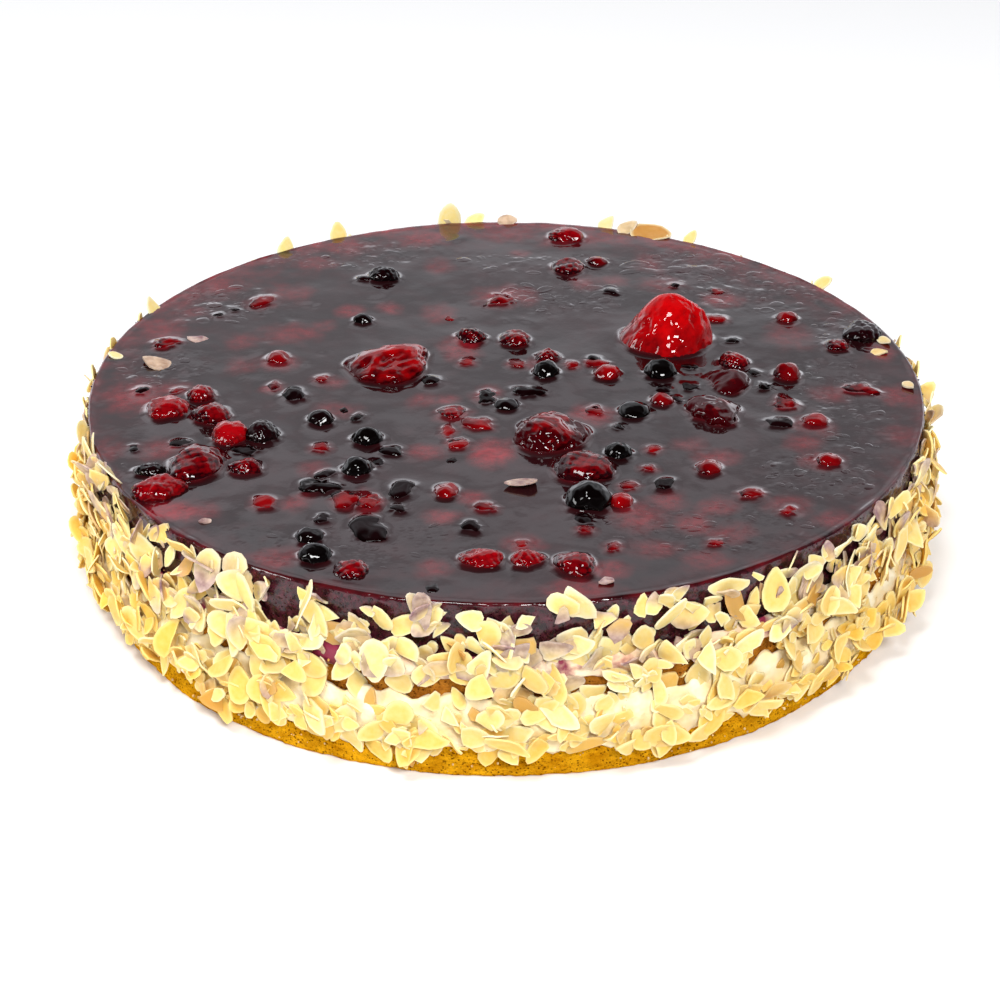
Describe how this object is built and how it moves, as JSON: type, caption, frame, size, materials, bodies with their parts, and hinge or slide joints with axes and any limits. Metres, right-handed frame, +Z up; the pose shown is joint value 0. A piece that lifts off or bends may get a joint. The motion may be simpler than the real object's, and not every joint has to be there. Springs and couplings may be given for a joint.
{
  "type": "fruit tart",
  "caption": "Round fruit tart: two sponges and two creams under a dark berry jelly with mixed berries set in it and flaked almonds round the side.",
  "frame": {"origin": "centre of the flat foot that the tart rests on", "axes": "+Z up through the middle of the tart; -Y is the side that the picture shows, +X to the right of it"},
  "size_m": [0.2928, 0.2936, 0.0775],
  "materials": {
    "sponge": "matte golden sponge with fine pores",
    "sponge_middle": "matte brown sponge with crumbs",
    "cream": "soft satin cream under almond flakes",
    "cream_upper": "satin cream stained pink by the jelly, under almond flakes",
    "jelly": "glossy dark purple-red jelly, matte at its side, with almond flakes",
    "strawberry": "wet glossy red fruit",
    "raspberry": "wet glossy dark red fruit",
    "bramble": "wet glossy black fruit",
    "blueberry": "wet glossy blue-black fruit",
    "redcurrant": "wet glossy red fruit",
    "blackcurrant": "wet glossy black fruit"
  },
  "bodies": {
    "root": {"sponge_base": "sponge", "cream_lower": "cream", "sponge_middle": "sponge_middle", "cream_upper": "cream_upper", "jelly": "jelly", "strawberry_1": "strawberry", "strawberry_2": "strawberry", "strawberry_3": "strawberry", "strawberry_4": "strawberry", "strawberry_5": "strawberry", "raspberry_1": "raspberry", "raspberry_2": "raspberry", "raspberry_3": "raspberry", "raspberry_4": "raspberry", "raspberry_5": "raspberry", "raspberry_6": "raspberry", "raspberry_7": "raspberry", "raspberry_8": "raspberry", "raspberry_9": "raspberry", "raspberry_10": "raspberry", "raspberry_11": "raspberry", "raspberry_12": "raspberry", "raspberry_13": "raspberry", "raspberry_14": "raspberry", "raspberry_15": "raspberry", "raspberry_16": "raspberry", "raspberry_17": "raspberry", "raspberry_18": "raspberry", "raspberry_19": "raspberry", "raspberry_20": "raspberry", "bramble_1": "bramble", "bramble_2": "bramble", "bramble_3": "bramble", "bramble_4": "bramble", "blueberry_1": "blueberry", "blueberry_2": "blueberry", "blueberry_3": "blueberry", "blueberry_4": "blueberry", "blueberry_5": "blueberry", "blueberry_6": "blueberry", "blueberry_7": "blueberry", "blueberry_8": "blueberry", "redcurrant_1": "redcurrant", "redcurrant_2": "redcurrant", "redcurrant_3": "redcurrant", "redcurrant_4": "redcurrant", "redcurrant_5": "redcurrant", "redcurrant_6": "redcurrant", "redcurrant_7": "redcurrant", "redcurrant_8": "redcurrant", "redcurrant_9": "redcurrant", "redcurrant_10": "redcurrant", "redcurrant_11": "redcurrant", "blackcurrant_1": "blackcurrant", "blackcurrant_2": "blackcurrant", "blackcurrant_3": "blackcurrant", "blackcurrant_4": "blackcurrant"}
  },
  "joints": []
}
